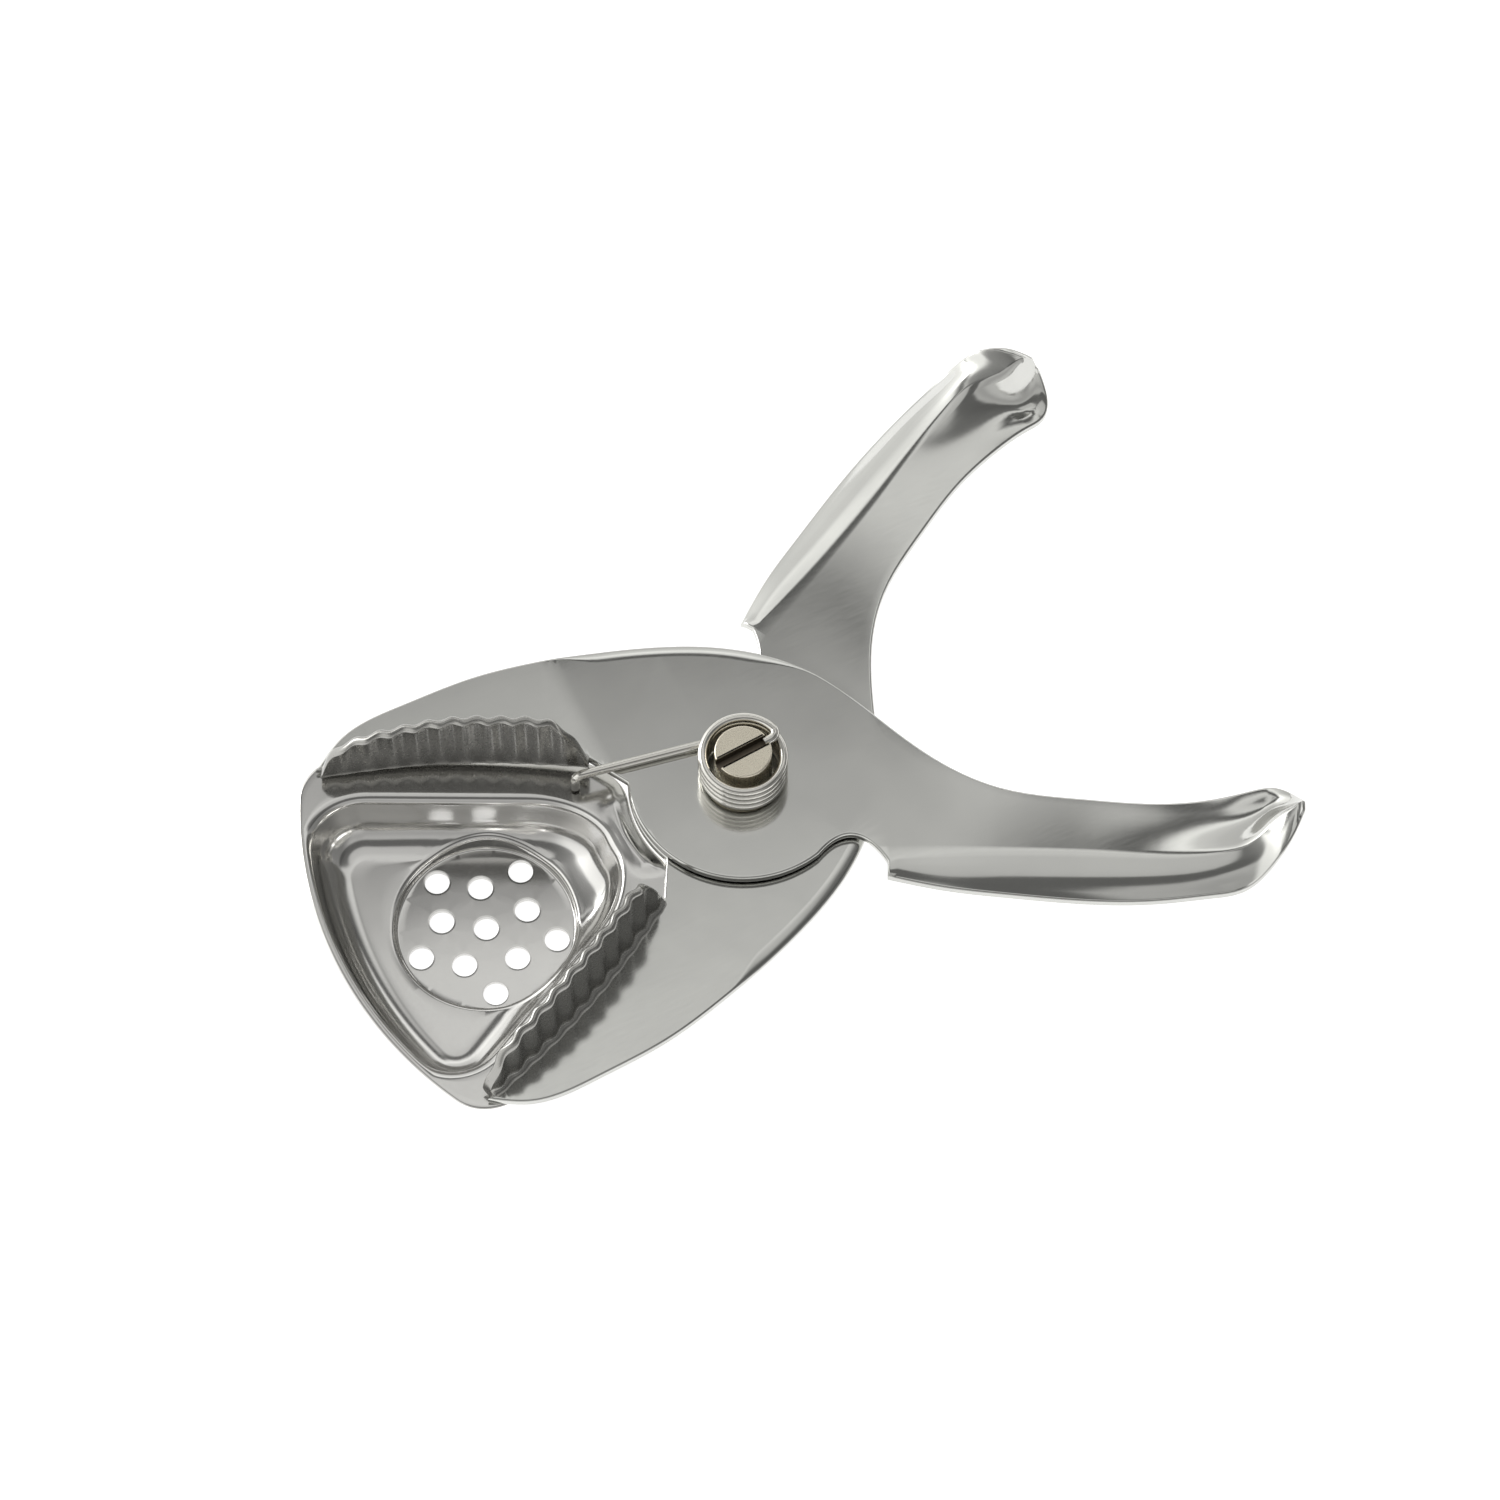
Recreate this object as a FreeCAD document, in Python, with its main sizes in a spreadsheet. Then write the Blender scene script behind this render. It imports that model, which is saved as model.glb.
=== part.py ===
import FreeCAD, Part
import math
import os
import Sketcher

# Pliers-type citrus press: two mirror-twin pressed steel levers cross at one screw, a fluted wall
# stands on the mouth edge of each jaw, and a strainer tray welded under the lower lever catches
# the juice. A torsion spring round the screw holds the jaws open.
# Every piece is built about the hinge axis, with X from the jaws towards the handles. Z is 0 on
# the surface the press lies on. At the end all pieces are moved along X by the same distance, so
# that the origin is the bottom centre of the whole press.

Vector = FreeCAD.Vector
UP = Vector(0, 0, 1)

doc = FreeCAD.newDocument("citrus_press")
sheet = doc.addObject("Spreadsheet::Sheet", "sizes")

# Driving sizes in mm, angles in degrees.
DRIVING_SIZES = [
    # lever stampings: reaches run from the hinge, jaw and shoulder widths from the lever's axis
    ("lever_gauge", 1.5),
    ("jaw_reach", 68.3),
    ("handle_reach", 89.2),
    ("half_opening", 27),
    ("hub_radius", 18.5),
    ("jaw_width", 19.2),
    ("shoulder_width", 23.1),
    ("notch_depth", 4.5),
    ("grip_width", 15.7),
    ("grip_drop", 3),
    ("grip_dish", 2.4),
    ("grip_rise", 5.6),
    # fluted walls
    ("wall_height", 14),
    ("throat_reach", 24.6),
    ("flute_pitch", 4),
    ("flute_depth", 0.9),
    ("mouth_bow", 1.6),
    # strainer tray
    ("tray_gauge", 0.8),
    ("tray_depth", 9),
    ("recess_depth", 2),
    ("recess_radius", 14.4),
    ("recess_setback", 25.75),
    ("hole_radius", 2),
    ("inner_ring", 7.25),
    ("outer_ring", 11.9),
    ("rim_overhang", 3.35),
    ("rim_radius", 65.75),
    ("rim_lip", 1.8),
    ("side_inset", 3.6),
    ("flange_cover", 4.8),
    ("flange_corner", 8),
    ("throat_overlap", 0.6),
    ("tray_corner", 7),
    ("tray_bend", 4),
    ("weld_radius", 1.5),
    # pivot stack
    ("screw_radius", 2.5),
    ("head_ledge", 2.1),
    ("head_height", 3.6),
    ("head_chamfer", 0.3),
    ("slot_width", 1.6),
    ("slot_depth", 1.6),
    ("slot_angle", 3.5),
    ("journal_wall", 1.5),
    ("washer_radius", 8),
    ("washer_gauge", 0.5),
    ("nut_wall", 1.5),
    ("nut_height", 4),
    ("nut_washer_ledge", 2.5),
    ("nut_washer_gauge", 1),
    ("thread_end", 1),
    # spring
    ("wire_radius", 0.75),
    ("coil_gap", 1.1),
    ("whole_turns", 4),
    ("coil_pitch", 1.52),
    ("tang_reach", 2.6),
    ("hook_overlap", 2.3),
    ("hook_radius", 1.5),
    # clearances
    ("side_play", 0.05),
    ("bore_play", 0.05),
    ("spring_play", 0.15),
    ("hook_gap", 0.6),
    ("jaw_play", 0.15),
]

# Sizes that follow from the driving ones, as sheet formulas.
DERIVED_SIZES = [
    ("notch_reach", "=hub_radius + notch_depth"),
    ("rim_reach", "=jaw_reach + rim_overhang"),
    ("recess_reach", "=rim_reach - recess_setback"),
    ("tray_throat", "=throat_reach - throat_overlap"),
    ("head_radius", "=screw_radius + head_ledge"),
    ("journal_radius", "=screw_radius + journal_wall"),
    ("nut_flats", "=2 * (screw_radius + nut_wall)"),
    ("nut_washer_radius", "=screw_radius + nut_washer_ledge"),
    ("coil_radius", "=head_radius + coil_gap + wire_radius"),
    ("lower_under", "=tray_gauge + recess_depth + tray_depth"),
    ("lower_top", "=lower_under + lever_gauge"),
    ("washer_top", "=lower_top + washer_gauge"),
    ("upper_under", "=washer_top + side_play"),
    ("upper_top", "=upper_under + lever_gauge"),
    ("upper_fall", "=upper_under - lower_under - jaw_play"),
    ("lower_fall", "=0"),
    ("coil_low", "=upper_top + spring_play + wire_radius"),
    ("journal_length", "=washer_gauge + lever_gauge + 2 * side_play"),
    ("bush_bore", "=screw_radius + bore_play"),
    ("lever_bore", "=journal_radius + bore_play"),
    ("nut_washer_under", "=lower_under - nut_washer_gauge"),
    ("nut_under", "=nut_washer_under - nut_height"),
    ("screw_under", "=nut_under - thread_end"),
]


def write_sheet():
    for row, (name, content) in enumerate(DRIVING_SIZES + DERIVED_SIZES, start=1):
        sheet.set("A%d" % row, name)
        sheet.set("B%d" % row, str(content))
        sheet.setAlias("B%d" % row, name)
    doc.recompute()


def size(name):
    return float(sheet.get(name))


def add_size(name, value):
    """One more cell, for a size that the geometry gives."""
    row = 1
    while sheet.getContents("A%d" % row):
        row += 1
    sheet.set("A%d" % row, name)
    sheet.set("B%d" % row, str(value))
    sheet.setAlias("B%d" % row, name)
    doc.recompute()


write_sheet()


# --- helpers for PartDesign bodies -----------------------------------------------------------

def new_body(name):
    body = doc.addObject("PartDesign::Body", name)
    body.Label = name
    return body


def origin_plane(body, role):
    for feature in body.Origin.OriginFeatures:
        if feature.Role == role:
            return feature
    raise RuntimeError("no plane " + role)


def new_sketch(body, name, role):
    sketch = body.newObject("Sketcher::SketchObject", name)
    sketch.AttachmentSupport = [(origin_plane(body, role), "")]
    sketch.MapMode = "FlatFace"
    return sketch


def corner_value(entry):
    return size(entry) if entry else 0.0


def draw_outline(sketch, corners):
    """Closed outline whose corners are pairs of sheet names; None stands for zero."""
    count = len(corners)
    points = [Vector(corner_value(across), corner_value(along), 0) for across, along in corners]
    for index in range(count):
        sketch.addGeometry(Part.LineSegment(points[index], points[(index + 1) % count]), False)
    for index in range(count):
        sketch.addConstraint(Sketcher.Constraint("Coincident", index, 2, (index + 1) % count, 1))
    for index, corner in enumerate(corners):
        for kind, name, axis in (("DistanceX", corner[0], -2), ("DistanceY", corner[1], -1)):
            if name is None:
                sketch.addConstraint(Sketcher.Constraint("PointOnObject", index, 1, axis))
                continue
            label = "c%d_%s" % (index, kind)
            number = sketch.addConstraint(Sketcher.Constraint(kind, -1, 1, index, 1, size(name)))
            sketch.renameConstraint(number, label)
            sketch.setExpression("Constraints." + label, "sizes." + name)


def turned_body(name, corners):
    """A piece turned about the hinge axis, from its half outline."""
    body = new_body(name)
    sketch = new_sketch(body, name + "_outline", "XZ_Plane")
    draw_outline(sketch, corners)
    turning = body.newObject("PartDesign::Revolution", name + "_turning")
    turning.Profile = sketch
    turning.ReferenceAxis = (sketch, ["V_Axis"])
    turning.Angle = 360
    sketch.Visibility = False
    doc.recompute()
    return body


# --- mouth line: where each jaw's plate turns up into its fluted wall -------------------------
# A lever is drawn along X with its jaw towards -X. The mouth face of the wall is nearly straight
# and bows away from the mouth in the middle.

TIP_SET = -0.4
THROAT_SET = 0.9
WALL_TIP_GAP = 0.9


def wall_tip():
    return size("jaw_reach") - WALL_TIP_GAP


def mouth_line(share):
    """Y of the mouth face at a share of the wall's length, 0 at the jaw tip, 1 at the throat."""
    bow = size("mouth_bow") * math.sin(math.pi * share)
    return TIP_SET + (THROAT_SET - TIP_SET) * share + bow


def spline_edge(points):
    curve = Part.BSplineCurve()
    curve.interpolate(points)
    return curve.toShape()


# --- upper_lever and lower_lever: one pressed steel stamping each -----------------------------

# The free arc of the hub, from the notch at the grip's root round to the throat, in degrees.
HUB_ARC_START = -49
HUB_ARC_END = -175

def plate_face(side):
    """Outline of a lever's jaw and hub, as far as the root of the grip."""
    gauge = size("lever_gauge")
    jaw = size("jaw_reach")
    width = size("jaw_width")
    hub = size("hub_radius")
    shoulder = size("shoulder_width")
    notch = size("notch_reach")
    grip = size("grip_width")
    throat = size("throat_reach")

    def at(across, along):
        return Vector(across, side * along, 0)

    def on_hub(degrees):
        angle = math.radians(degrees)
        return at(hub * math.cos(angle), hub * math.sin(angle))

    tip = at(-jaw, 0.06 * width)
    root_inner = at(notch, GRIP_INNER[0] * grip)
    root_ridge = at(notch, GRIP_RIDGE[0] * grip)
    outer_edge = spline_edge([
        tip,
        at(-0.945 * jaw, 0.36 * width),
        at(-0.80 * jaw, 0.67 * width),
        at(-0.64 * jaw, 0.91 * width),
        at(-0.48 * jaw, 1.06 * width),
        at(-0.80 * hub, shoulder),
        at(-0.10 * hub, 0.99 * shoulder),
        at(0.58 * hub, 0.81 * shoulder),
        root_inner,
    ])
    notch_start = on_hub(HUB_ARC_START)
    notch_edge = spline_edge([
        root_ridge,
        at(0.89 * notch, -0.65 * hub),
        at(0.75 * notch, -0.57 * hub),
        at(0.64 * notch, -0.615 * hub),
        notch_start,
    ])
    hub_end = on_hub(HUB_ARC_END)
    hub_middle = on_hub((HUB_ARC_START + HUB_ARC_END) / 2)
    hub_edge = Part.Arc(notch_start, hub_middle, hub_end).toShape()
    half_wall = gauge / 2
    throat_point = at(-throat, mouth_line(1) + half_wall)
    throat_edge = Part.LineSegment(hub_end, throat_point).toShape()
    shares = [1, 0.75, 0.5, 0.25, 0]
    run = wall_tip() - throat
    mouth_points = [at(-wall_tip() + share * run, mouth_line(share) + half_wall)
                    for share in shares]
    mouth_edge = spline_edge(mouth_points)
    tip_edge = Part.LineSegment(mouth_points[-1], tip).toShape()
    root_edge = Part.LineSegment(root_inner, root_ridge).toShape()
    edges = [outer_edge, root_edge, notch_edge, hub_edge, throat_edge, mouth_edge, tip_edge]
    return Part.Face(Part.Wire(Part.__sortEdges__(edges)))


def crease(side):
    """The crease between hub and jaw: a point on it, its direction, and the way to the jaw tip."""
    outer_end = Vector(-1.71 * size("hub_radius"), side * 1.06 * size("jaw_width"), 0)
    throat_end = Vector(-0.95 * size("throat_reach"), side * 0.22 * size("jaw_width"), 0)
    along = (outer_end - throat_end).normalize()
    return throat_end, along, UP.cross(along) * side


def lowered(jaw_part, side, fall):
    """A part of the jaw turned down about the crease until the jaw's tip falls by a distance."""
    start, along, toward_tip = crease(side)
    tip = Vector(-size("jaw_reach"), 0, 0)
    angle = math.degrees(math.asin(fall / (tip - start).dot(toward_tip)))
    jaw_part.rotate(start + UP * size("lever_gauge"), along, -side * angle)
    return jaw_part


def plate_solid(side, fall):
    """Hub and jaw in one sheet, bent once along the crease when the jaw falls towards its tip."""
    plate = plate_face(side).extrude(UP * size("lever_gauge"))
    if fall == 0:
        return plate
    start, along, toward_tip = crease(side)
    far = 2 * size("jaw_reach")
    corners = [start - along * far, start + along * far,
               start + along * far + toward_tip * far, start - along * far + toward_tip * far]
    beyond = Part.Face(Part.makePolygon(corners + [corners[0]])).extrude(UP * size("lever_gauge"))
    return plate.cut(beyond).fuse(lowered(plate.common(beyond), side, fall))


# Sections of the grip from its root to its tip. Each value is a share: of the grip's length, of
# grip_width for the inner edge, ridge and outer edge, of grip_rise for the heights of the inner
# edge and the ridge, of grip_drop from the ridge to the outer edge, and of grip_dish.
GRIP_SHARE = [0.0, 0.136, 0.272, 0.468, 0.65, 0.785, 0.876, 0.936, 0.982, 1.0]
GRIP_INNER = [0.586, 0.146, -0.115, -0.229, -0.261, -0.191, -0.089, -0.041, -0.166, -0.318]
GRIP_RIDGE = [-0.968, -0.904, -0.873, -0.873, -0.892, -0.866, -0.764, -0.557, -0.484, -0.42]
GRIP_OUTER = [-1.115, -1.223, -1.272, -1.318, -1.306, -1.248, -1.166, -0.994, -0.70, -0.51]
INNER_RISE = [0.0, 0.0, -0.03, -0.08, -0.17, -0.26, -0.29, -0.34, -0.09, 0.45]
RIDGE_RISE = [0.0, 0.0, 0.0, 0.0, 0.0, 0.11, 0.39, 0.75, 1.0, 0.89]
GRIP_DROP = [0.3, 0.45, 0.67, 0.93, 1.0, 1.07, 1.1, 0.27, 0.1, 0.07]
GRIP_DISH = [0.0, 0.0, 0.0, 0.0, 0.04, 0.2, 0.65, 1.0, 0.58, 0.12]


def grip_solid(side):
    """Grip: a nearly level inner half with a thumb dish at its end, and an outer half that slopes
    down from the ridge and rises beside the dish.
    """
    gauge = size("lever_gauge")
    width = size("grip_width")
    length = size("handle_reach") - size("notch_reach")
    wires = []
    for index, share in enumerate(GRIP_SHARE):
        reach = size("notch_reach") + share * length
        inner = GRIP_INNER[index] * width
        ridge = GRIP_RIDGE[index] * width
        outer = GRIP_OUTER[index] * width
        drop = GRIP_DROP[index] * size("grip_drop")
        dish = GRIP_DISH[index] * size("grip_dish")
        inner_top = gauge + INNER_RISE[index] * size("grip_rise")
        ridge_top = gauge + RIDGE_RISE[index] * size("grip_rise")
        top = [
            (inner, inner_top),
            ((inner + ridge) / 2, (inner_top + ridge_top) / 2 - dish),
            (ridge, ridge_top),
            (ridge + 0.6 * (outer - ridge), ridge_top - 0.3 * drop),
            (outer, ridge_top - drop),
        ]
        ring = top + [(along, height - gauge) for along, height in reversed(top)]
        points = [Vector(reach, side * along, height) for along, height in ring]
        wires.append(Part.makePolygon(points + [points[0]]))
    return Part.makeLoft(wires, True, True)


# Height of the wall along its length, as shares of the length and of wall_height.
WALL_RISE = [(0.0, 0.05), (0.02, 0.28), (0.07, 0.55), (0.15, 0.72), (0.32, 0.88), (0.52, 1.0)]
WALL_FALL = [(0.83, 1.0), (0.90, 0.84), (0.96, 0.45), (1.0, 0.1)]


def wall_solid(side):
    """Wall on the mouth edge: a strip fluted along its length, cut to a round-ended outline."""
    gauge = size("lever_gauge")
    height = size("wall_height")
    tip = wall_tip()
    run = tip - size("throat_reach")
    depth = size("flute_depth") / 2
    steps = 4 * round(run / size("flute_pitch"))
    front = []
    back = []
    for step in range(steps + 1):
        share = step / steps
        along = mouth_line(share) - depth * math.cos(step * math.pi / 2)
        front.append(Vector(-tip + share * run, side * along, 0))
        back.append(Vector(-tip + share * run, side * (along + gauge), 0))
    strip = [
        spline_edge(front),
        Part.LineSegment(front[-1], back[-1]).toShape(),
        spline_edge(back),
        Part.LineSegment(back[0], front[0]).toShape(),
    ]
    strip_face = Part.Face(Part.Wire(Part.__sortEdges__(strip)))
    strip_solid = strip_face.extrude(UP * (gauge + 1.1 * height))

    def on_outline(share, rise):
        return Vector(-tip + share * run, 0, gauge + rise * height)

    rise = [on_outline(*pair) for pair in WALL_RISE]
    fall = [on_outline(*pair) for pair in WALL_FALL]
    foot_tip = Vector(-tip, 0, 0)
    foot_throat = Vector(-tip + run, 0, 0)
    outline = [
        Part.LineSegment(foot_tip, rise[0]).toShape(),
        spline_edge(rise),
        Part.LineSegment(rise[-1], fall[0]).toShape(),
        spline_edge(fall),
        Part.LineSegment(fall[-1], foot_throat).toShape(),
        Part.LineSegment(foot_throat, foot_tip).toShape(),
    ]
    outline_face = Part.Face(Part.Wire(Part.__sortEdges__(outline)))
    outline_face.translate(Vector(0, -size("jaw_width"), 0))
    outline_solid = outline_face.extrude(Vector(0, 2 * size("jaw_width"), 0))
    return strip_solid.common(outline_solid)


def make_lever(name, side, underside, fall, bore_radius):
    """side is 1 for the lever whose jaw lies towards +Y, and -1 for its mirror twin."""
    gauge = size("lever_gauge")
    bore = Part.makeCylinder(size(bore_radius), 3 * gauge, Vector(0, 0, -gauge))
    wall = lowered(wall_solid(side), side, size(fall))
    shape = plate_solid(side, size(fall)).fuse([grip_solid(side), wall])
    shape = shape.cut(bore).removeSplitter()
    lever = doc.addObject("Part::Feature", name)
    lever.Label = name
    lever.Shape = shape.Solids[0] if len(shape.Solids) == 1 else shape
    turn = FreeCAD.Rotation(UP, -side * size("half_opening"))
    lever.Placement = FreeCAD.Placement(Vector(0, 0, size(underside)), turn)
    return lever


upper_lever = make_lever("upper_lever", 1, "upper_under", "upper_fall", "lever_bore")
lower_lever = make_lever("lower_lever", -1, "lower_under", "lower_fall", "bush_bore")


# --- strainer_tray: deep-drawn fan-shaped pan with a perforated round recess ------------------

def fan_face(inset, front_radius, throat):
    """Fan between the mouth lines, closed by a front arc and by a throat arc about the hinge."""
    half = math.radians(size("half_opening"))
    centre = -(size("rim_reach") - size("rim_radius"))
    corners = []
    for side in (1, -1):
        # a point at a distance along the mouth line, moved inwards by the inset
        ray = Vector(-math.cos(half), side * math.sin(half), 0)
        shift = Vector(-inset * math.sin(half), -side * inset * math.cos(half), 0)
        from_centre = shift - Vector(centre, 0, 0)
        along = from_centre.dot(ray)
        reach = -along + math.sqrt(along ** 2 - from_centre.dot(from_centre) + front_radius ** 2)
        near = -shift.dot(ray) + math.sqrt(shift.dot(ray) ** 2 - shift.dot(shift) + throat ** 2)
        corners.append((ray * reach + shift, ray * near + shift))
    (front_a, throat_a), (front_b, throat_b) = corners
    edges = [
        Part.Arc(front_a, Vector(centre - front_radius, 0, 0), front_b).toShape(),
        Part.LineSegment(front_b, throat_b).toShape(),
        Part.Arc(throat_b, Vector(-throat, 0, 0), throat_a).toShape(),
        Part.LineSegment(throat_a, front_a).toShape(),
    ]
    return Part.Face(Part.Wire(Part.__sortEdges__(edges)))


def upright_edges(shape):
    found = []
    for edge in shape.Edges:
        if len(edge.Vertexes) == 2:
            ends = [vertex.Point for vertex in edge.Vertexes]
            if math.hypot(ends[0].x - ends[1].x, ends[0].y - ends[1].y) < 1e-6:
                found.append(edge)
    return found


def edges_at_height(shape, height):
    found = []
    for edge in shape.Edges:
        box = edge.BoundBox
        if abs(box.ZMin - height) < 1e-6 and abs(box.ZMax - height) < 1e-6:
            found.append(edge)
    return found


def pan_solid(inset, front_radius, throat, corner, bend, under, height):
    block = fan_face(inset, front_radius, throat).extrude(UP * height)
    block.translate(Vector(0, 0, under))
    block = block.makeFillet(corner, upright_edges(block))
    return block.makeFillet(bend, edges_at_height(block, under))


def make_tray():
    gauge = size("tray_gauge")
    floor_under = size("recess_depth")
    floor_top = floor_under + gauge
    flange_top = size("lower_under")
    flange_under = flange_top - gauge
    opening_radius = size("rim_radius") - size("rim_lip")
    inside = pan_solid(size("side_inset"), opening_radius, size("tray_throat"),
                       size("tray_corner"), size("tray_bend"), floor_top,
                       size("tray_depth") + gauge)
    outside = pan_solid(size("side_inset") - gauge, opening_radius + gauge,
                        size("tray_throat") - gauge, size("tray_corner") + gauge,
                        size("tray_bend") + gauge, floor_under, flange_top - floor_under)
    flange = fan_face(-size("flange_cover"), size("rim_radius"), size("hub_radius"))
    flange = flange.extrude(UP * gauge)
    flange.translate(Vector(0, 0, flange_under))
    flange = flange.makeFillet(size("flange_corner"), upright_edges(flange))
    centre = Vector(-size("recess_reach"), 0, 0)
    recess = Part.makeCylinder(size("recess_radius") + gauge, floor_top, centre)
    hollow_start = centre + UP * gauge
    hollow = Part.makeCylinder(size("recess_radius"), flange_top, hollow_start)
    tray = outside.fuse([flange, recess]).cut([inside, hollow])
    holes = [Part.makeCylinder(size("hole_radius"), floor_top, centre)]
    for step in range(5):
        for ring, phase in (("inner_ring", 0), ("outer_ring", 0.5)):
            angle = 2 * math.pi * (step + phase) / 5
            offset = Vector(math.cos(angle), math.sin(angle), 0) * size(ring)
            holes.append(Part.makeCylinder(size("hole_radius"), floor_top, centre + offset))
    welds = [Part.makeCylinder(size("weld_radius"), gauge, spot) for spot in weld_spots()]
    tray = tray.cut(holes + welds).removeSplitter()
    feature = doc.addObject("Part::Feature", "strainer_tray")
    feature.Label = "strainer_tray"
    feature.Shape = tray.Solids[0] if len(tray.Solids) == 1 else tray
    return feature


# --- tray_welds: spot welds that hold the tray's flange to the lower lever --------------------

WELD_SHARES = (0.42, 0.56, 0.70, 0.84)


def weld_spots():
    """Spots in a row under the lower jaw, halfway across the covered flange."""
    half = math.radians(size("half_opening"))
    ray = Vector(-math.cos(half), -math.sin(half), 0)
    out = Vector(math.sin(half), -math.cos(half), 0)
    height = size("lower_under") - size("tray_gauge")
    reach = size("jaw_reach")
    return [ray * (share * reach) + out * size("flange_cover") / 2 + UP * height
            for share in WELD_SHARES]


strainer_tray = make_tray()
nuggets = [Part.makeCylinder(size("weld_radius"), size("tray_gauge"), spot)
           for spot in weld_spots()]
tray_welds = doc.addObject("Part::Feature", "tray_welds")
tray_welds.Label = "tray_welds"
tray_welds.Shape = Part.makeCompound(nuggets)


# --- return_spring: torsion coil on the upper lever, from the screw slot to the upper jaw -----

def make_spring():
    """The bottom turn runs off straight, past the throat end of the upper wall on its mouth side,
    and hooks down. The arm bears on that end of the wall, with a small play.
    """
    wire = size("wire_radius")
    coil = size("coil_radius")
    turn = -size("half_opening")
    depth = size("flute_depth") / 2
    passing_along = mouth_line(1) - depth - wire - size("spring_play")
    passing = Vector(-size("throat_reach"), passing_along, 0)
    passing = FreeCAD.Rotation(UP, turn).multVec(passing)
    passing_angle = math.degrees(math.atan2(passing.y, passing.x))
    leave_angle = passing_angle - math.degrees(math.acos(coil / passing.Length))
    turned = leave_angle - size("slot_angle") + 360 * size("whole_turns")
    rise = size("coil_pitch") * turned / 360
    low = size("coil_low")

    helix = Part.makeHelix(size("coil_pitch"), rise, coil, 0, True)
    ring = Part.Wire(Part.makeCircle(wire, Vector(coil, 0, 0), Vector(0, 1, 0)))
    turns = Part.Wire(helix.Edges).makePipeShell([ring], True, True)
    place = FreeCAD.Placement(Vector(0, 0, low), FreeCAD.Rotation(UP, leave_angle))
    turns.Placement = place

    def ball(point):
        return Part.makeSphere(wire, point)

    def rod(start, end):
        return Part.makeCylinder(wire, (end - start).Length, start, end - start)

    leave = Vector(coil, 0, 0)
    leave = FreeCAD.Rotation(UP, leave_angle).multVec(leave) + UP * low
    passing = passing + UP * low
    bend = size("hook_radius")
    toward = (passing - leave).normalize()
    hook = passing + toward * size("hook_overlap")
    arm_end = hook - toward * bend
    bend_plane = toward.cross(UP)
    bend_centre = arm_end - UP * bend
    reach_box = Part.makeBox(4 * bend, 4 * bend, 4 * bend, Vector(0, -2 * bend, 0))
    heading = math.degrees(math.atan2(toward.y, toward.x))
    reach_box.Placement = FreeCAD.Placement(bend_centre, FreeCAD.Rotation(UP, heading))
    bend_solid = Part.makeTorus(bend, wire, bend_centre, bend_plane).common(reach_box)
    drop_start = bend_centre + toward * bend
    drop_end = Vector(drop_start.x, drop_start.y, size("lower_under") + size("hook_gap"))
    high = UP * (low + rise)
    slot_way = FreeCAD.Rotation(UP, size("slot_angle")).multVec(Vector(1, 0, 0))
    tang_start = slot_way * coil + high
    tang_end = slot_way * (coil - size("tang_reach")) + high
    pieces = [
        ball(leave),
        rod(leave, arm_end),
        bend_solid,
        rod(drop_start, drop_end),
        ball(tang_start),
        rod(tang_start, tang_end),
    ]
    shape = turns.fuse(pieces).removeSplitter()
    feature = doc.addObject("Part::Feature", "return_spring")
    feature.Label = "return_spring"
    feature.Shape = shape.Solids[0] if len(shape.Solids) == 1 else shape
    add_size("coil_rise", rise)
    return feature


return_spring = make_spring()
add_size("head_top", "=coil_low + coil_rise + wire_radius")
add_size("head_shoulder", "=head_top - head_chamfer")
add_size("head_under", "=head_top - head_height")
add_size("head_rim", "=head_radius - head_chamfer")
add_size("slot_floor", "=head_top - slot_depth")
add_size("bush_step", "=lower_top + journal_length")


# --- pivot_screw, pivot_bush, washers and nut: the turned parts of the hinge ------------------
# The screw clamps the bush to the lower lever. The bush is a journal for the upper lever and a
# sleeve inside the spring, so the upper lever turns freely however tight the nut is.

pivot_screw = turned_body("pivot_screw", [
    (None, "screw_under"),
    ("screw_radius", "screw_under"),
    ("screw_radius", "head_under"),
    ("head_radius", "head_under"),
    ("head_radius", "head_shoulder"),
    ("head_rim", "head_top"),
    (None, "head_top"),
])

pivot_bush = turned_body("pivot_bush", [
    ("bush_bore", "lower_top"),
    ("journal_radius", "lower_top"),
    ("journal_radius", "bush_step"),
    ("head_radius", "bush_step"),
    ("head_radius", "head_under"),
    ("bush_bore", "head_under"),
])

pivot_washer = turned_body("pivot_washer", [
    ("lever_bore", "lower_top"),
    ("washer_radius", "lower_top"),
    ("washer_radius", "washer_top"),
    ("lever_bore", "washer_top"),
])

nut_washer = turned_body("nut_washer", [
    ("bush_bore", "nut_washer_under"),
    ("nut_washer_radius", "nut_washer_under"),
    ("nut_washer_radius", "lower_under"),
    ("bush_bore", "lower_under"),
])


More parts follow.
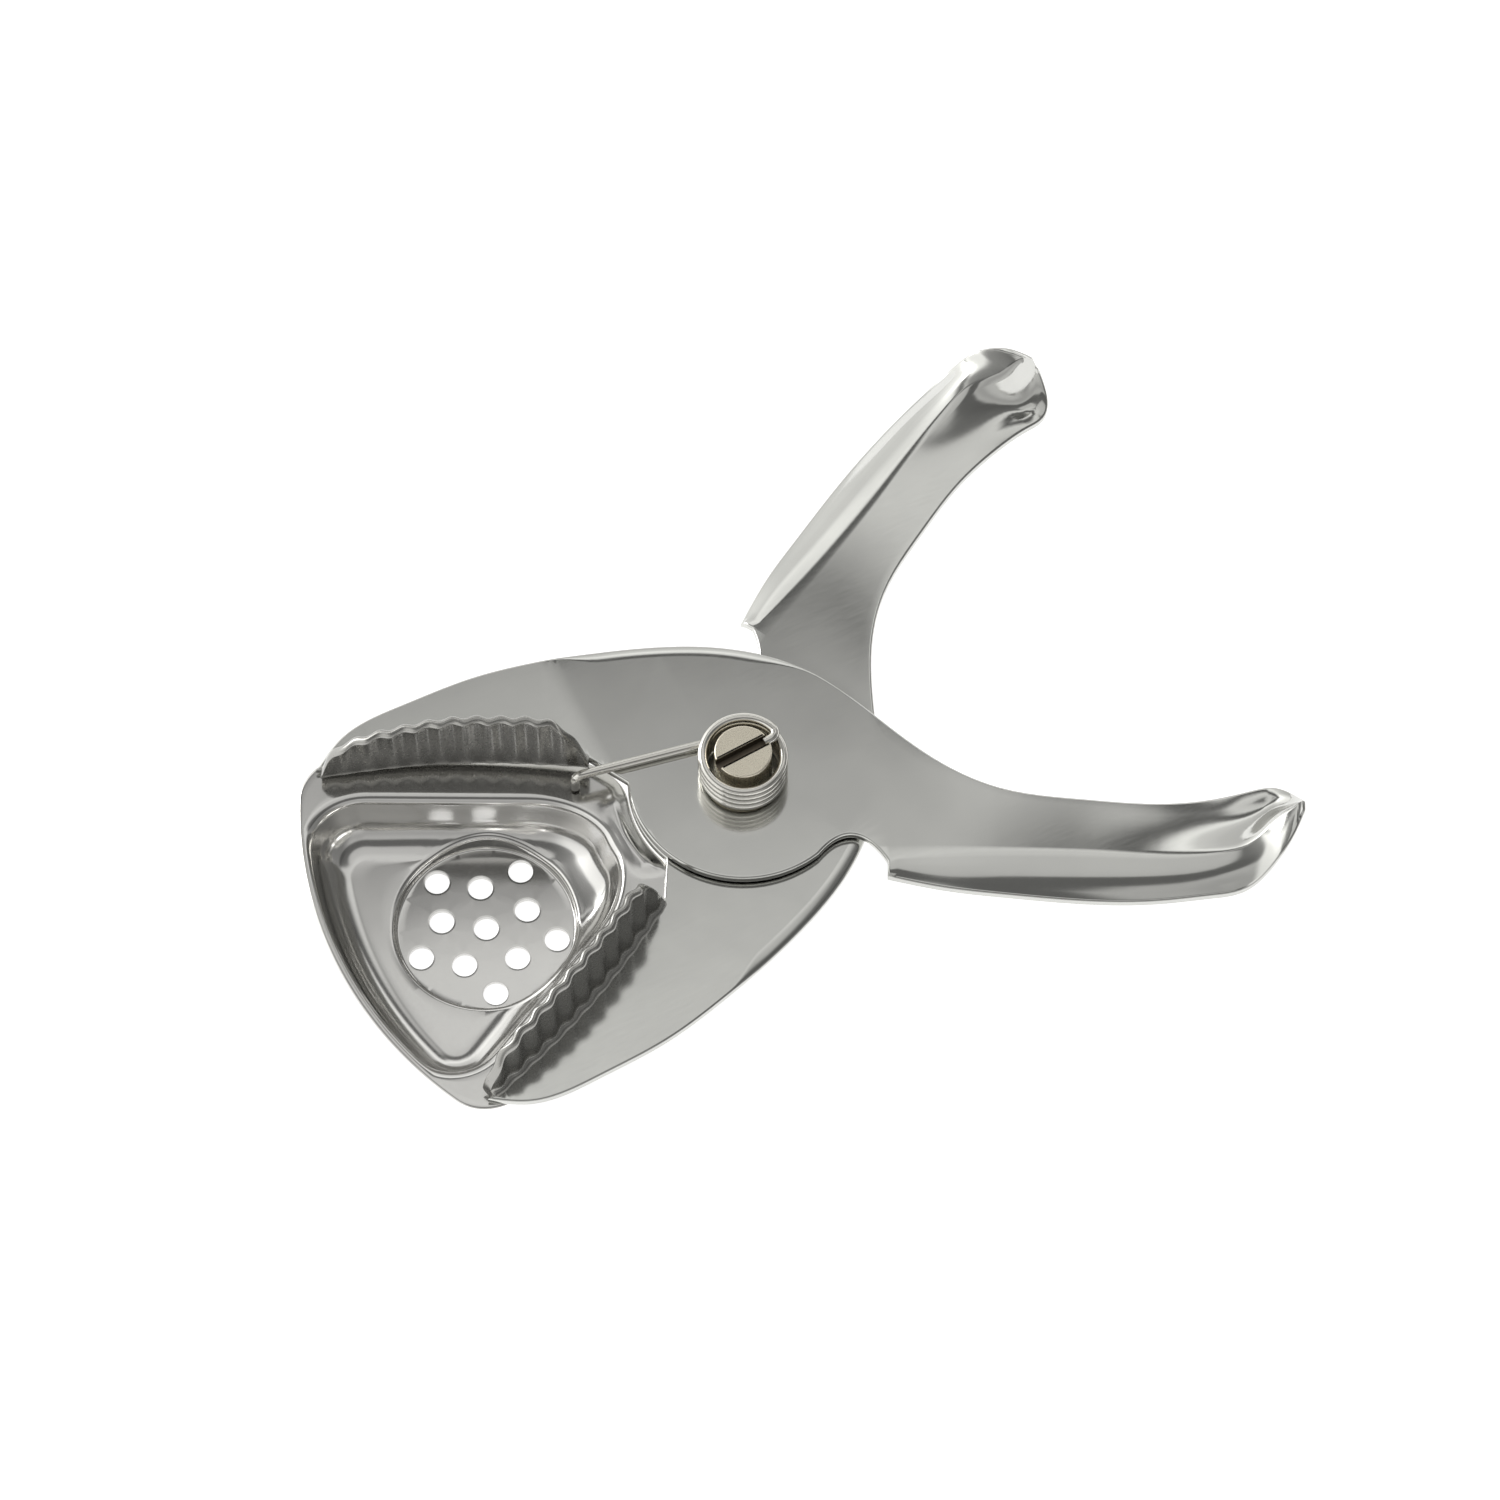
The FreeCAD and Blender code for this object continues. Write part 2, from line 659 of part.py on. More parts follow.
def cut_slot():
    """Screwdriver slot across the head, along the direction that the spring's tang lies in."""
    sketch = new_sketch(pivot_screw, "slot_outline", "XY_Plane")
    half_width = size("slot_width") / 2
    half_length = size("head_radius") + 1
    corners = [(-1, -1), (1, -1), (1, 1), (-1, 1)]
    points = [Vector(across * half_length, along * half_width, 0) for across, along in corners]
    for index in range(4):
        sketch.addGeometry(Part.LineSegment(points[index], points[(index + 1) % 4]), False)
    for index in range(4):
        sketch.addConstraint(Sketcher.Constraint("Coincident", index, 2, (index + 1) % 4, 1))
    for index, kind in enumerate(("Horizontal", "Vertical", "Horizontal", "Vertical")):
        sketch.addConstraint(Sketcher.Constraint(kind, index))
    sketch.addConstraint(Sketcher.Constraint("Symmetric", 0, 1, 1, 2, -1, 1))
    width = sketch.addConstraint(Sketcher.Constraint("DistanceY", 1, 1, 1, 2, 2 * half_width))
    sketch.renameConstraint(width, "slot_width")
    sketch.setExpression("Constraints.slot_width", "sizes.slot_width")
    length = sketch.addConstraint(Sketcher.Constraint("DistanceX", 0, 1, 0, 2, 2 * half_length))
    sketch.renameConstraint(length, "slot_length")
    sketch.setExpression("Constraints.slot_length", "2 * sizes.head_radius + 2")
    sketch.setExpression("AttachmentOffset.Base.z", "sizes.slot_floor")
    before = pivot_screw.Shape.Volume
    slot = pivot_screw.newObject("PartDesign::Pocket", "slot")
    slot.Profile = sketch
    slot.setExpression("Length", "sizes.slot_depth + 1")
    slot.Reversed = True
    doc.recompute()
    if pivot_screw.Shape.Volume > before - 1:
        raise RuntimeError("the slot cuts nothing")


cut_slot()
pivot_screw.setExpression("Placement.Rotation.Angle", "sizes.slot_angle")


def nut_body():
    """Hexagon nut: a hexagonal prism bored for the screw."""
    body = new_body("pivot_nut")
    sketch = new_sketch(body, "nut_outline", "XY_Plane")
    reach = size("nut_flats") / math.sqrt(3)
    points = [Vector(reach * math.cos(step * math.pi / 3), reach * math.sin(step * math.pi / 3), 0)
              for step in range(6)]
    for index in range(6):
        sketch.addGeometry(Part.LineSegment(points[index], points[(index + 1) % 6]), False)
    guide = sketch.addGeometry(Part.Circle(Vector(0, 0, 0), UP, reach), True)
    bore = sketch.addGeometry(Part.Circle(Vector(0, 0, 0), UP, size("screw_radius")), False)
    for index in range(6):
        sketch.addConstraint(Sketcher.Constraint("Coincident", index, 2, (index + 1) % 6, 1))
        sketch.addConstraint(Sketcher.Constraint("PointOnObject", index, 1, guide))
        if index:
            sketch.addConstraint(Sketcher.Constraint("Equal", 0, index))
    sketch.addConstraint(Sketcher.Constraint("PointOnObject", 0, 1, -1))
    sketch.addConstraint(Sketcher.Constraint("Coincident", guide, 3, -1, 1))
    sketch.addConstraint(Sketcher.Constraint("Coincident", bore, 3, -1, 1))
    for circle, name, rule in ((guide, "corner_radius", "sizes.nut_flats / sqrt(3)"),
                               (bore, "bore_radius", "sizes.screw_radius")):
        value = reach if circle == guide else size("screw_radius")
        number = sketch.addConstraint(Sketcher.Constraint("Radius", circle, value))
        sketch.renameConstraint(number, name)
        sketch.setExpression("Constraints." + name, rule)
    sketch.setExpression("AttachmentOffset.Base.z", "sizes.nut_under")
    pad = body.newObject("PartDesign::Pad", "nut_pad")
    pad.Profile = sketch
    pad.setExpression("Length", "sizes.nut_height")
    doc.recompute()
    return body


pivot_nut = nut_body()

PIECES = [upper_lever, lower_lever, strainer_tray, tray_welds, pivot_screw, pivot_bush,
          pivot_washer, nut_washer, pivot_nut, return_spring]


# --- origin: all pieces move along X to the centre of the whole press -------------------------

doc.recompute()
whole = FreeCAD.BoundBox()
for piece in PIECES:
    whole.add(piece.Shape.optimalBoundingBox(False))
add_size("hinge_x", -(whole.XMin + whole.XMax) / 2)
for piece in PIECES:
    piece.setExpression("Placement.Base.x", "sizes.hinge_x")
doc.recompute()
print("hinge at x =", round(size("hinge_x"), 3), "box", whole)

for item in doc.Objects:
    if "Invalid" in item.State or "Error" in item.State:
        raise RuntimeError("failed: " + item.Name)
for piece in PIECES:
    if piece.Shape.isNull() or not piece.Shape.isValid():
        raise RuntimeError("bad shape: " + piece.Label)

os.makedirs("parts", exist_ok=True)
for piece in PIECES:
    print(piece.Label, "volume", round(piece.Shape.Volume, 1), "solids", len(piece.Shape.Solids))
    piece.Shape.exportStep("parts/" + piece.Label + ".step")
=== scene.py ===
import math
import bmesh
import bpy
import numpy as np
from mathutils import Matrix, Vector


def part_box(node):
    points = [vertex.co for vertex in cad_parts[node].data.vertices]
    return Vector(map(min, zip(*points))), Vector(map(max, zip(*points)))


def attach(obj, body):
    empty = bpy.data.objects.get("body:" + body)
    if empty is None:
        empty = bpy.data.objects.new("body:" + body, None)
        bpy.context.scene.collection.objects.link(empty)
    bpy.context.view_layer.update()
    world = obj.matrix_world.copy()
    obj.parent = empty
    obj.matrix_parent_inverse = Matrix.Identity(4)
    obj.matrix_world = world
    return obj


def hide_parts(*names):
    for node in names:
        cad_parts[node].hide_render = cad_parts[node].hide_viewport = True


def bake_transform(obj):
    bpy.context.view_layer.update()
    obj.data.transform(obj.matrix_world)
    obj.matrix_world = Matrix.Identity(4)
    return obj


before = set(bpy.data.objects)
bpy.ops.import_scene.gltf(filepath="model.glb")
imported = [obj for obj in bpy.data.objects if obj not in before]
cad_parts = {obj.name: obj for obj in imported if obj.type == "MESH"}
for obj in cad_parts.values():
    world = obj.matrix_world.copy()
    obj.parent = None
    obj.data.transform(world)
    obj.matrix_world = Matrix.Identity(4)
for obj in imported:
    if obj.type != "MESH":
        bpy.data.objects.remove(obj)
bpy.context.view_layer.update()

MM = 0.001
UP = Vector((0, 0, 1))
HINGE = (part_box("pivot_washer")[0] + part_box("pivot_washer")[1]) / 2
HINGE.z = 0

# --- lower lever -------------------------------------------------------------------------------
# One stamping of 1.5 mm stainless sheet: flat hub and jaw, a fluted wall folded up on the mouth
# edge, and a grip with its outer half pressed down and a thumb dish at the end. Its tumbled and
# buffed face mirrors softly and shows the very fine lines of the buffing.

GAUGE = 1.5
JAW_REACH = 68.3
HUB_RADIUS = 18.5
NOTCH_REACH = 23.0
HANDLE_REACH = 89.05
HALF_OPENING = math.radians(27)
THROAT_REACH = 24.6
WALL_TIP = 67.4
LOWER_BORE = 2.55
LOWER_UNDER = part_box("strainer_tray")[1].z / MM


def linear(code):
    """The linear colour of an sRGB hex value such as #c8c4bc."""
    parts = [int(code[i:i + 2], 16) / 255 for i in (1, 3, 5)]
    return [p / 12.92 if p <= 0.04045 else ((p + 0.055) / 1.055) ** 2.4 for p in parts] + [1.0]


def add(material, kind, links=(), **settings):
    """One node with its settings, and links into it as (input name, other node, output name)."""
    tree = material.node_tree
    node = tree.nodes.new(kind)
    for name, value in settings.items():
        if hasattr(node, name):
            setattr(node, name, value)
        else:
            node.inputs[name.replace("_", " ")].default_value = value
    for socket, other, output in links:
        tree.links.new(other.outputs[output], node.inputs[socket])
    return node


def steel(name, colour, roughness, line_width, line_depth, wave_depth, across=(1, 1, 1)):
    """Stainless steel. line_width is the width in mm of the polishing lines, across says along
    which axes they repeat; wave_depth is the slow unevenness of pressed and buffed sheet.
    """
    material = bpy.data.materials.new(name)
    material.use_nodes = True
    tree = material.node_tree
    shader = tree.nodes["Principled BSDF"]
    shader.inputs["Metallic"].default_value = 1.0
    place = add(material, "ShaderNodeTexCoord")
    stretch = add(material, "ShaderNodeMapping", [("Vector", place, "Object")])
    stretch.inputs["Scale"].default_value = across
    lines = add(material, "ShaderNodeTexNoise", [("Vector", stretch, "Vector")],
                Scale=1 / (2 * line_width * MM), Detail=3.0, Roughness=0.6)
    waves = add(material, "ShaderNodeTexNoise", [("Vector", place, "Object")],
                Scale=1 / (24 * MM), Detail=1.0)
    stains = add(material, "ShaderNodeTexNoise", [("Vector", place, "Object")],
                 Scale=1 / (9 * MM), Detail=4.0)
    tone = add(material, "ShaderNodeMix", [("Factor", stains, "Fac")], data_type="RGBA")
    tone.inputs["A"].default_value = linear(colour[0])
    tone.inputs["B"].default_value = linear(colour[1])
    tree.links.new(tone.outputs["Result"], shader.inputs["Base Color"])
    gloss = add(material, "ShaderNodeMapRange", [("Value", lines, "Fac")])
    gloss.inputs["To Min"].default_value = roughness[0]
    gloss.inputs["To Max"].default_value = roughness[1]
    tree.links.new(gloss.outputs["Result"], shader.inputs["Roughness"])
    scratch = add(material, "ShaderNodeBump", [("Height", lines, "Fac")], Strength=1.0,
                  Distance=line_depth * MM)
    swell = add(material, "ShaderNodeBump",
                [("Height", waves, "Fac"), ("Normal", scratch, "Normal")],
                Strength=1.0, Distance=wave_depth * MM)
    tree.links.new(swell.outputs["Normal"], shader.inputs["Normal"])
    return material


# Buffed stamping: the reflections of the walls stay readable in it, with a soft edge.
lever_steel = steel("buffed_stainless_sheet", ("#c6c6c3", "#d2d2ce"), (0.10, 0.17), 0.25, 0.0006,
                    0.05, (0.15, 1, 1))

# Rolled flutes: the forming dulls the sheet, so they reflect softer than the plates; their base
# colour is painted darker to stand in for the dark reflection the walls show.
fluted_steel_painted_dark = steel("fluted_stainless_sheet", ("#9c9b98", "#abaaa6"), (0.20, 0.32), 0.3, 0.001,
                     0.05)


def curve_through(points):
    """A smooth line through points. Returns a function of the point's number, which may be
    fractional; between the points it follows a natural cubic spline on the chord lengths.
    """
    data = np.array([tuple(p) for p in points], float)
    chord = np.linalg.norm(np.diff(data, axis=0), axis=1)
    knots = np.concatenate([[0], np.cumsum(chord)])
    count = len(data)
    system = np.eye(count)
    right = np.zeros_like(data)
    for i in range(1, count - 1):
        before, after = chord[i - 1], chord[i]
        system[i, i - 1:i + 2] = before, 2 * (before + after), after
        right[i] = 6 * ((data[i + 1] - data[i]) / after - (data[i] - data[i - 1]) / before)
    bend = np.linalg.solve(system, right)

    def at(number):
        i = min(max(int(number), 0), count - 2)
        width = chord[i]
        t = (number - i) * width
        left, rest = width - t, t
        return Vector((bend[i] * left ** 3 + bend[i + 1] * rest ** 3) / (6 * width)
                      + (data[i] / width - bend[i] * width / 6) * left
                      + (data[i + 1] / width - bend[i + 1] * width / 6) * rest)

    return at


def spread(first, last, steps):
    return [first + (last - first) * i / steps for i in range(steps + 1)]


def smooth_step(value):
    value = min(max(value, 0), 1)
    return value * value * (3 - 2 * value)


def mouth_line(share):
    return -0.4 + 1.3 * share + 1.6 * math.sin(math.pi * share)


# The grip's sections from root to tip, in mm from the hinge and from the lever's own axis.
GRIP_X = [NOTCH_REACH + (HANDLE_REACH - NOTCH_REACH) * share for share in
          (0, 0.136, 0.272, 0.468, 0.65, 0.785, 0.876, 0.936, 0.982, 1)]
GRIP_INNER = (9.20, 2.29, -1.81, -3.60, -4.10, -3.00, -1.40, -0.64, -2.61, -4.99)
GRIP_RIDGE = (-15.20, -14.19, -13.71, -13.71, -14.00, -13.60, -11.99, -8.74, -7.60, -6.59)
GRIP_OUTER = (-17.51, -19.20, -19.97, -20.69, -20.50, -19.59, -18.31, -15.61, -10.99, -8.01)
INNER_RISE = (0, 0, -0.17, -0.45, -0.95, -1.46, -1.62, -1.90, -0.50, 2.52)
RIDGE_RISE = (0, 0, 0, 0, 0, 0.62, 2.18, 4.20, 5.60, 4.98)
GRIP_DROP = (0.9, 1.35, 2.01, 2.79, 3.0, 3.21, 3.3, 0.81, 0.30, 0.21)
GRIP_DISH = (0, 0, 0, 0, 0.10, 0.48, 1.56, 2.4, 1.39, 0.29)
SECTION_STEPS = 6
ACROSS_INNER = 10
ACROSS_OUTER = 8
TOP_ROUND = 0.45
SHOULDER_ROUND = 2.2
UNDER_ROUND = 0.3
MOUTH_FOLD = 1.6


def grip_rows():
    """Rows of points across the grip, from the inner edge over the ridge to the outer edge."""
    far_edge = curve_through([(-0.80 * HUB_RADIUS, 23.1), (-0.10 * HUB_RADIUS, 22.87),
                              (0.58 * HUB_RADIUS, 18.71)] + list(zip(GRIP_X, GRIP_INNER)))
    ridge_line = curve_through(list(zip(GRIP_X, GRIP_RIDGE)))
    outer_edge = curve_through(list(zip(GRIP_X, GRIP_OUTER)))
    rises = curve_through(list(zip(GRIP_X, INNER_RISE, RIDGE_RISE)))
    depths = curve_through(list(zip(GRIP_X, GRIP_DROP, GRIP_DISH)))
    rows = []
    for number in spread(0, len(GRIP_X) - 1, (len(GRIP_X) - 1) * SECTION_STEPS):
        inner, ridge, outer = far_edge(number + 3), ridge_line(number), outer_edge(number)
        _, low, high = rises(number)
        drop, dish = max(depths(number).y, 0.2), max(depths(number).z, 0) if number > 3 else 0
        row = []
        for t in spread(0, 1, ACROSS_INNER):
            flat = inner.lerp(ridge, t)
            height = low + (high - low) * t - dish * math.sin(math.pi * t) ** 1.5
            row.append(Vector((flat.x, flat.y, height)))
        for t in spread(0, 1, ACROSS_OUTER)[1:]:
            flat = ridge.lerp(outer, t)
            facets = 0.5 * t + 0.1 * math.log(1 + math.exp((t - 0.6) / 0.08))
            soft = t ** 2.4
            height = high - drop * (facets + (soft - facets) * smooth_step((number - 4.5) / 3))
            row.append(Vector((flat.x, flat.y, height)))
        rows.append(row)
    return rows


def lever_edge(rows):
    """The stamping's outline in order, as (point, number of the grip row and column or None)."""
    far = curve_through([(-JAW_REACH, 1.15), (-0.945 * JAW_REACH, 6.9), (-0.80 * JAW_REACH, 12.86),
                         (-0.64 * JAW_REACH, 17.5), (-0.48 * JAW_REACH, 20.35),
                         (-0.80 * HUB_RADIUS, 23.1), (-0.10 * HUB_RADIUS, 22.87),
                         (0.58 * HUB_RADIUS, 18.71)] + list(zip(GRIP_X, GRIP_INNER)))
    edge = [(far(number), None) for number in spread(0, 8, 112)[:-1]]
    last = len(rows) - 1
    width = len(rows[0]) - 1
    edge += [(rows[i][0], (i, 0)) for i in range(last + 1)]
    edge += [(rows[last][j], (last, j)) for j in range(1, width)]
    edge += [(rows[i][width], (i, width)) for i in range(last, -1, -1)]
    edge += [(rows[0][j], (0, j)) for j in range(width - 1, ACROSS_INNER - 1, -1)]
    notch = curve_through([(NOTCH_REACH, -15.2), (0.89 * NOTCH_REACH, -0.65 * HUB_RADIUS),
                           (0.75 * NOTCH_REACH, -0.57 * HUB_RADIUS),
                           (0.64 * NOTCH_REACH, -0.615 * HUB_RADIUS),
                           (HUB_RADIUS * math.cos(math.radians(-49)),
                            HUB_RADIUS * math.sin(math.radians(-49)))])
    edge += [(notch(number), None) for number in spread(0, 4, 28)[1:-1]]
    for angle in spread(math.radians(-49), math.radians(-175), 64):
        edge.append((Vector((HUB_RADIUS * math.cos(angle), HUB_RADIUS * math.sin(angle))), None))
    hub_end = edge[-1][0]
    throat = Vector((-THROAT_REACH, mouth_line(1) + MOUTH_FOLD))
    edge += [(hub_end.lerp(throat, t), None) for t in spread(0, 1, 8)[1:]]
    for share in spread(1, 0, 60)[1:]:
        along = -WALL_TIP + share * (WALL_TIP - THROAT_REACH)
        edge.append((Vector((along, mouth_line(share) + MOUTH_FOLD)), None))
    return edge


def shaped_grid(bm, steps_u, steps_v, place):
    """A grid of faces whose vertices are moved to place(u step, v step)."""
    made = bmesh.ops.create_grid(bm, x_segments=steps_u, y_segments=steps_v, size=1)["verts"]
    for vert in made:
        u = round((vert.co.x + 1) / 2 * steps_u)
        v = round((vert.co.y + 1) / 2 * steps_v)
        vert.co = place(u, v)
    return made


def fill(bm, rings):
    """Flat faces between an outer ring of points and the rings inside it."""
    edges = []
    for ring in rings:
        verts = [bm.verts.new(p) for p in ring]
        edges += [bm.edges.new((verts[i - 1], verts[i])) for i in range(len(verts))]
    bmesh.ops.triangle_fill(bm, edges=edges, use_beauty=True, normal=UP)


def circle(centre, radius, steps):
    return [Vector((centre.x + radius * math.cos(2 * math.pi * i / steps),
                    centre.y + radius * math.sin(2 * math.pi * i / steps), centre.z))
            for i in range(steps)]


def press_lever(bore):
    """The flat stamping with rounded rims, before its jaw is bent and its wall is added."""
    rows = grip_rows()
    edge = lever_edge(rows)
    count = len(edge)
    flat = [Vector((p.x, p.y, 0)) for p, _ in edge]
    outward = []
    for i in range(count):
        run = (flat[(i + 1) % count] - flat[i]).normalized() + (flat[i] - flat[i - 1]).normalized()
        outward.append(run.cross(UP).normalized() * -1)
    level = [p.z if len(p) == 3 else 0 for p, _ in edge]
    rim = []
    for i, (point, _) in enumerate(edge):
        shoulder = smooth_step((point.x + 31) / 8) * smooth_step((12 - point.x) / 12)
        if point.y < 16:
            shoulder = 0
        rim.append((TOP_ROUND + shoulder * (SHOULDER_ROUND - TOP_ROUND),
                    TOP_ROUND + 0.2 * shoulder))
    bm = bmesh.new()
    for height, width in ((GAUGE, None), (0, UNDER_ROUND)):
        inset = [(rim[i][0] if width is None else width) for i in range(count)]
        ring = [flat[i] - outward[i] * inset[i] + UP * (height + level[i]) for i in range(count)]
        at_grip = {where: ring[i] for i, (_, where) in enumerate(edge) if where}

        def grip_point(i, j):
            if (i, j) in at_grip:
                return at_grip[(i, j)]
            a, b = at_grip[(i, 0)], at_grip[(i, len(rows[0]) - 1)]
            row = rows[i]
            span = row[-1] - row[0]
            share = (row[j] - row[0]).dot(span) / span.dot(span)
            shift = (a - row[0]).lerp(b - row[-1], share)
            return Vector((row[j].x + shift.x, row[j].y + shift.y, height + row[j].z))

        shaped_grid(bm, len(rows) - 1, len(rows[0]) - 1, grip_point)
        first = [i for i, (_, where) in enumerate(edge) if where == (0, 0)][0]
        ridge_root = [i for i, (_, where) in enumerate(edge) if where == (0, ACROSS_INNER)][0]
        plate = [ring[i % count] for i in range(ridge_root, count + first + 1)]
        plate += [grip_point(0, j) for j in range(1, ACROSS_INNER)]
        fill(bm, [plate, circle(UP * height, bore, 64)])

    profile = [(1 - math.sin(a), 1 - math.cos(a), True) for a in spread(0, math.pi / 2, 6)]
    profile += [(1 - math.cos(a), 1 - math.sin(a), False) for a in spread(0, math.pi / 2, 4)]

    def rim_point(u, v):
        i = u % count
        inset, sink, upper = profile[v]
        if upper:
            width, depth = rim[i]
            return flat[i] - outward[i] * width * inset + UP * (GAUGE + level[i] - depth * sink)
        return flat[i] - outward[i] * UNDER_ROUND * inset + UP * (level[i] + UNDER_ROUND * sink)

    shaped_grid(bm, count, len(profile) - 1, rim_point)
    shaped_grid(bm, 64, 1, lambda u, v: circle(UP * GAUGE * v, bore, 64)[u % 64])
    bmesh.ops.remove_doubles(bm, verts=bm.verts, dist=0.004)
    bmesh.ops.recalc_face_normals(bm, faces=bm.faces)
    return bm


WALL_RISE = curve_through([(0, 0.05), (0.02, 0.28), (0.07, 0.55), (0.15, 0.72), (0.32, 0.88),
                           (0.52, 1), (0.68, 1.01), (0.83, 1), (0.90, 0.84), (0.96, 0.45),
                           (1, 0.1)])
WALL_HEIGHT = 13.86
FLUTES = 11
FLUTE_STEPS = 12
FLUTE_DEPTH = 0.27
FOLD_RADIUS = 2.2


def wall_rise(share):
    """The wall's height over the plate, in mm, at a share of its length."""
    low, high = 0.0, 10.0
    for _ in range(24):
        middle = (low + high) / 2
        low, high = (middle, high) if WALL_RISE(middle).x < share else (low, middle)
    return max(WALL_RISE(low).y * WALL_HEIGHT, 0.7)


def wall_section(rise):
    """The folded wall's section as (distance behind the mouth face, height over the underside)."""
    foot = min(1.2, 0.6 * rise)
    lip = min(GAUGE / 2, 0.45 * rise)
    top = GAUGE + rise - lip
    fold = min(FOLD_RADIUS, top - 0.05)
    section = [(GAUGE + foot * (1 - math.sin(t)), GAUGE - 0.01 + foot * (1 - math.cos(t)))
               for t in spread(0, math.pi / 2, 6)]
    section += [(GAUGE, z) for z in spread(GAUGE + foot, top, 10)[1:]]
    section += [(GAUGE / 2 * (1 + math.cos(t)), top + lip * math.sin(t))
                for t in spread(0, math.pi, 12)[1:]]
    section += [(0, z) for z in spread(top, fold, 12)[1:]]
    section += [(fold * (1 - math.cos(t)), fold * (1 - math.sin(t)) + 0.01)
                for t in spread(0, math.pi / 2, 8)[1:]]
    return section


def fold_wall(bm):
    """The fluted wall on the mouth edge, as a closed shell that runs into the plate."""
    steps = FLUTES * FLUTE_STEPS
    sections = [wall_section(wall_rise(u / steps)) for u in range(steps + 1)]
    count = len(sections[0])

    def wall_point(u, v):
        share = u / steps
        behind, height = sections[u][v % count]
        flute = -FLUTE_DEPTH * math.cos(2 * math.pi * u / FLUTE_STEPS)
        flute *= smooth_step((height - 0.6) / 2.4)
        along = -WALL_TIP + share * (WALL_TIP - THROAT_REACH)
        return Vector((along, mouth_line(share) + behind + flute, height))

    wall = shaped_grid(bm, steps, count, wall_point)
    bmesh.ops.remove_doubles(bm, verts=wall, dist=0.0001)
    ends = [e for e in bm.edges if e.is_boundary]
    bmesh.ops.holes_fill(bm, edges=ends, sides=0)
    for face in bm.faces:
        face.material_index = 1


def slope_jaw(bm, fall):
    """The jaw bent down a little along a crease, so that its tip lies lower by the fall."""
    outer_end = Vector((-1.71 * HUB_RADIUS, 20.35, 0))
    throat_end = Vector((-0.95 * THROAT_REACH, 4.22, 0))
    toward_tip = UP.cross((outer_end - throat_end).normalized())
    reach = (Vector((-JAW_REACH, 0, 0)) - throat_end).dot(toward_tip)
    slope = fall / reach
    soft = 1.4
    for share in spread(-1, 1, 6):
        bmesh.ops.bisect_plane(bm, geom=bm.verts[:] + bm.edges[:] + bm.faces[:], dist=0.0001,
                               plane_co=throat_end + toward_tip * (soft * share),
                               plane_no=toward_tip)
    for vert in bm.verts:
        beyond = (vert.co - throat_end).dot(toward_tip)
        if beyond > soft:
            vert.co.z -= slope * beyond
        elif beyond > -soft:
            vert.co.z -= slope * (beyond + soft) ** 2 / (4 * soft)


def finish_mesh(bm, name, material):
    """A finished object from a bmesh in mm about the hinge axis: smooth, in place, in metres."""
    bmesh.ops.recalc_face_normals(bm, faces=bm.faces)
    bmesh.ops.scale(bm, verts=bm.verts, vec=(MM, MM, MM))
    bmesh.ops.translate(bm, verts=bm.verts, vec=HINGE)
    for face in bm.faces:
        face.smooth = True
    for edge in bm.edges:
        edge.smooth = edge.is_boundary or edge.calc_face_angle(0) < math.radians(60)
    mesh = bpy.data.meshes.new(name)
    bm.to_mesh(mesh)
    bm.free()
    mesh.materials.append(material)
    piece = bpy.data.objects.new(name, mesh)
    bpy.context.scene.collection.objects.link(piece)
    return piece


def weigh_normals(piece):
    """Shading that keeps the broad faces flat right up to their rounded rims."""
    modifier = piece.modifiers.new("flat_faces", "WEIGHTED_NORMAL")
    modifier.weight = 90
    modifier.keep_sharp = True


def make_lever(name, side, underside, fall, bore):
    bm = press_lever(bore)
    wall = bmesh.new()
    fold_wall(wall)
    joined = bpy.data.meshes.new(name + "_wall")
    wall.to_mesh(joined)
    wall.free()
    bm.from_mesh(joined)
    bpy.data.meshes.remove(joined)
    if fall:
        slope_jaw(bm, fall)
    bmesh.ops.scale(bm, verts=bm.verts, vec=(1, side, 1))
    bmesh.ops.rotate(bm, verts=bm.verts, cent=(0, 0, 0),
                     matrix=Matrix.Rotation(-side * HALF_OPENING, 3, "Z"))
    bmesh.ops.translate(bm, verts=bm.verts, vec=UP * underside)
    lever = finish_mesh(bm, name, lever_steel)
    lever.data.materials.append(fluted_steel_painted_dark)
    weigh_normals(lever)
    return lever


lower = make_lever("lower_lever_stamping", -1, LOWER_UNDER, 0, LOWER_BORE)
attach(lower, "lower_half")
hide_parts("lower_lever")

# --- strainer tray ------------------------------------------------------------------------------
# A fan-shaped pan deep-drawn from 0.8 mm stainless sheet with a round recess pressed into its
# floor and eleven punched holes. It is polished to a mirror and spot-welded under the lower lever.

TRAY_GAUGE = 0.8
RECESS_DEPTH = 2
RECESS_FLOOR = TRAY_GAUGE + 0.01
RECESS_FILLET = 0.4
RECESS_REACH = 45.9
RECESS_RADIUS = 14.4
RECESS_DOME = 0.28
HOLE_RADIUS = 2
HOLE_RIM = 0.35
HOLE_STEPS = 32
HOLE_RINGS = ((7.25, 0), (11.5, 0.5))
RIM_CENTRE = -5.9
THROAT_SLOPE = 1.7
PAN_INSET = 3.6
PAN_FRONT = 63.95
PAN_THROAT = 24
PAN_CORNERS = (9, 6)
PAN_DOME = 0.22
PAN_DOME_REACH = 22
FLANGE_INSET = -4.8
FLANGE_FRONT = 65.72
FLANGE_CORNERS = (8, 8)
BEAD_REACH = 21.2
BEAD_WIDTH = 0.8
BEAD_HEIGHT = 0.5
BEAD_HALF_LENGTH = 8.2
tray_steel = steel("mirror_polished_stainless", ("#cdccca", "#d8d7d4"), (0.12, 0.18), 0.3, 0.0004,
                   0.04)


